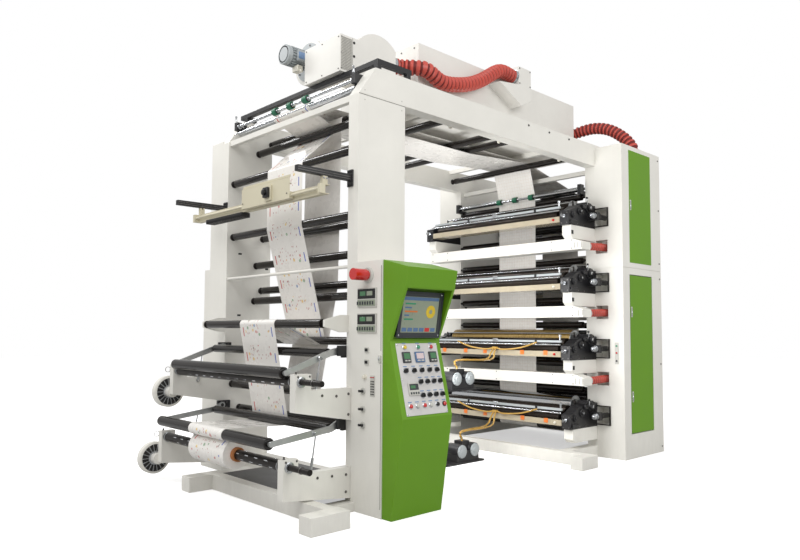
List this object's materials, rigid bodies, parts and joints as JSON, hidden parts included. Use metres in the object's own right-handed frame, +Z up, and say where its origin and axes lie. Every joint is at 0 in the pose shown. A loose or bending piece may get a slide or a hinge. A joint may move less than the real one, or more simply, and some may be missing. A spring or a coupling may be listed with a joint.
{
  "type": "flexographic printing press",
  "caption": "Stack-type flexographic press for plastic film: winding tower, bridge with drying box, printing tower with decks, operator console.",
  "frame": {"origin": "middle of the machine on the floor", "axes": "+X along the line from the winding tower to the printing tower, +Y from the operator side to the gear side, +Z up"},
  "size_m": [5.3229, 2.717, 3.78],
  "materials": {
    "cream_paint": "semi-gloss",
    "green_paint": "gloss",
    "black_paint": "satin",
    "grey_paint": "satin",
    "bright_chrome": "polished",
    "bare_aluminium": "machined",
    "ground_steel": "ground",
    "black_anodised": "anodised",
    "green_rubber": "matt",
    "black_rubber": "matt",
    "plate_polymer": "satin",
    "printed_film": "gloss",
    "hose_red": "ribbed",
    "tray_plastic": "gloss",
    "tube_plastic": "gloss",
    "screen_plastic": "matt",
    "beacon_red": "gloss",
    "instrument_grey": "matt"
  },
  "bodies": {
    "press_frame": {"base_frame": "cream_paint", "floor_plates": "black_paint", "winder_side_walls": "cream_paint", "bridge_beams": "cream_paint", "bridge_ties": "cream_paint", "print_side_walls": "cream_paint", "drive_cabinet": "cream_paint", "far_covers": "cream_paint", "upper_door": "green_paint", "console_case": "cream_paint", "console_front": "green_paint", "console_screen": "screen_plastic", "control_panel": "bare_aluminium", "signal_beacon": "beacon_red", "tension_controllers": "instrument_grey", "dryer_housing": "cream_paint", "blower_housing": "cream_paint", "blower_motor": "grey_paint", "long_air_hose": "hose_red", "short_air_hose": "hose_red", "top_rail": "black_paint", "nip_rollers": "bright_chrome", "nip_rings": "green_rubber", "nip_blocks": "black_paint", "frame_idlers": "black_anodised", "print_idlers": "black_anodised", "guide_brackets": "cream_paint", "camera_arms": "black_paint", "camera_rail": "cream_paint", "winding_arms": "bare_aluminium", "pivot_brackets": "black_paint", "lower_layon_frame": "bare_aluminium", "lower_struts": "bare_aluminium", "winding_clutches": "cream_paint", "film_web": "printed_film", "deck_arms": "cream_paint", "deck_blocks": "black_paint", "rear_plate_cylinders": "plate_polymer", "ink_rollers": "black_rubber", "ink_trays": "tray_plastic", "drying_ducts": "cream_paint", "duct_hoses": "hose_red", "ink_pumps": "black_paint", "ink_tubes": "tube_plastic"},
    "cabinet_door": {"lower_door": "green_paint"},
    "upper_shaft": {"upper_winding_shaft": "ground_steel"},
    "lower_shaft": {"lower_winding_shaft": "ground_steel", "printed_roll": "printed_film"},
    "layon_frame": {"upper_layon_frame": "bare_aluminium"},
    "strut_tubes": {"upper_strut_tubes": "bare_aluminium"},
    "strut_rods": {"upper_strut_rods": "bright_chrome"},
    "camera_slide": {"camera_carriage": "tray_plastic"},
    "plate_roll_1": {"plate_cylinder_1": "plate_polymer"},
    "plate_roll_2": {"plate_cylinder_2": "plate_polymer"},
    "plate_roll_3": {"plate_cylinder_3": "plate_polymer"},
    "plate_roll_4": {"plate_cylinder_4": "plate_polymer"}
  },
  "joints": [
    {"name": "lower_door_hinge", "type": "hinge", "parent": "press_frame", "child": "cabinet_door", "pos_m": [1.6895, -1.1345, 1.015], "axis": [0, 0, 1], "range_deg": [0, 110]},
    {"name": "upper_shaft_spin", "type": "hinge", "parent": "press_frame", "child": "upper_shaft", "pos_m": [-2.4085, 0.1075, 0.887], "axis": [0, 1, 0], "continuous": true},
    {"name": "lower_shaft_spin", "type": "hinge", "parent": "press_frame", "child": "lower_shaft", "pos_m": [-2.4925, 0.1075, 0.351], "axis": [0, 1, 0], "continuous": true},
    {"name": "layon_lift", "type": "hinge", "parent": "press_frame", "child": "layon_frame", "pos_m": [-2.0205, 0.1075, 1.083], "axis": [0, 1, 0], "range_deg": [0, 20]},
    {"name": "strut_tilt", "type": "hinge", "parent": "press_frame", "child": "strut_tubes", "pos_m": [-2.2385, 0.1075, 0.8], "axis": [0, 1, 0], "range_deg": [-4, 1]},
    {"name": "strut_travel", "type": "slide", "parent": "strut_tubes", "child": "strut_rods", "axis": [0.1568, 0, 0.9876], "range_m": [0, 0.07]},
    {"name": "camera_travel", "type": "slide", "parent": "press_frame", "child": "camera_slide", "axis": [0, 1, 0], "range_m": [-0.2, 0.6]},
    {"name": "plate_spin_1", "type": "hinge", "parent": "press_frame", "child": "plate_roll_1", "pos_m": [0.9975, 0.1075, 0.497], "axis": [0, 1, 0], "continuous": true},
    {"name": "plate_spin_2", "type": "hinge", "parent": "press_frame", "child": "plate_roll_2", "pos_m": [0.9975, 0.1075, 1.15], "axis": [0, 1, 0], "continuous": true},
    {"name": "plate_spin_3", "type": "hinge", "parent": "press_frame", "child": "plate_roll_3", "pos_m": [0.9975, 0.1075, 1.803], "axis": [0, 1, 0], "continuous": true},
    {"name": "plate_spin_4", "type": "hinge", "parent": "press_frame", "child": "plate_roll_4", "pos_m": [0.9975, 0.1075, 2.456], "axis": [0, 1, 0], "continuous": true}
  ],
  "couplings": [
    {"joint": "strut_tilt", "follows": "layon_lift", "ratio": -0.1759},
    {"joint": "strut_travel", "follows": "layon_lift", "m_per_rad": 0.1803},
    {"joint": "plate_spin_2", "follows": "plate_spin_1", "ratio": 1},
    {"joint": "plate_spin_3", "follows": "plate_spin_1", "ratio": 1},
    {"joint": "plate_spin_4", "follows": "plate_spin_1", "ratio": 1}
  ]
}
